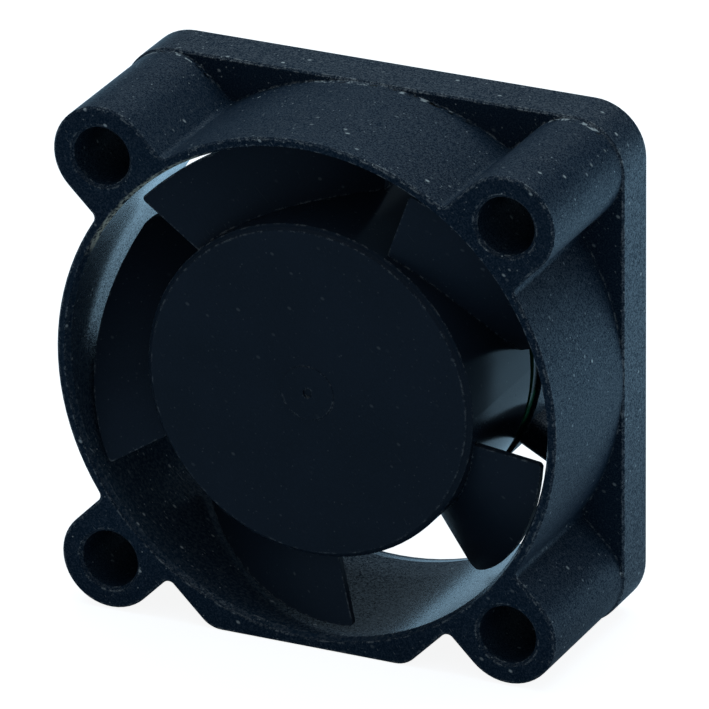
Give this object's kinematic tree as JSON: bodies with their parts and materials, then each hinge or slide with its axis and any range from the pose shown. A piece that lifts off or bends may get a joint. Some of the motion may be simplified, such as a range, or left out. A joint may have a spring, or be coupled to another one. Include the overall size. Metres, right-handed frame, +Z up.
{
  "type": "cooling fan",
  "caption": "Small square axial cooling fan with a ducted bladed impeller on an outer-rotor motor, rear flange and corner screw posts.",
  "frame": {"origin": "centre of the fan's bounding box, on the spin axis", "axes": "+Y along the spin axis from the inlet side to the rear flange face, +Z up, foot pad at -Z"},
  "size_m": [0.025, 0.01, 0.025],
  "materials": {
    "frame_plastic": "fine spark-eroded grain, matt",
    "impeller_plastic": "satin moulded, slightly glossier on the hub's side",
    "steel": "drawn, plain",
    "magnet": "bonded ferrite, dull",
    "electrical_steel": "stamped sheets with blue-grey varnish",
    "brass": "turned",
    "bronze": "sintered, oil-filled",
    "insulator": "natural moulded nylon",
    "copper_wire": "enamelled copper winding",
    "tin": "tinned",
    "board": "green solder mask",
    "chip_plastic": "moulded epoxy",
    "ceramic": "ceramic chip with tinned ends",
    "nylon": "natural nylon sheet",
    "plug_rubber": "black, satin"
  },
  "bodies": {
    "housing": {"frame": "frame_plastic", "bearing_tube": "brass", "sleeve_bearing": "bronze", "oil_washer": "nylon", "thrust_pad": "nylon", "rear_plug": "plug_rubber", "stator_laminations": "electrical_steel", "front_insulator": "insulator", "rear_insulator": "insulator", "coil_1": "copper_wire", "coil_2": "copper_wire", "coil_3": "copper_wire", "coil_4": "copper_wire", "terminal_pins": "tin", "solder_joints": "tin", "circuit_board": "board", "drive_chip": "chip_plastic", "filter_capacitor": "ceramic", "chip_resistor": "chip_plastic"},
    "rotor": {"impeller": "impeller_plastic", "shaft": "steel", "rotor_yoke": "steel", "rotor_magnet": "magnet", "retaining_clip": "nylon"}
  },
  "joints": [
    {"name": "impeller_spin", "type": "hinge", "parent": "housing", "child": "rotor", "pos_m": [0, 0, 0], "axis": [0, 1, 0], "continuous": true}
  ]
}
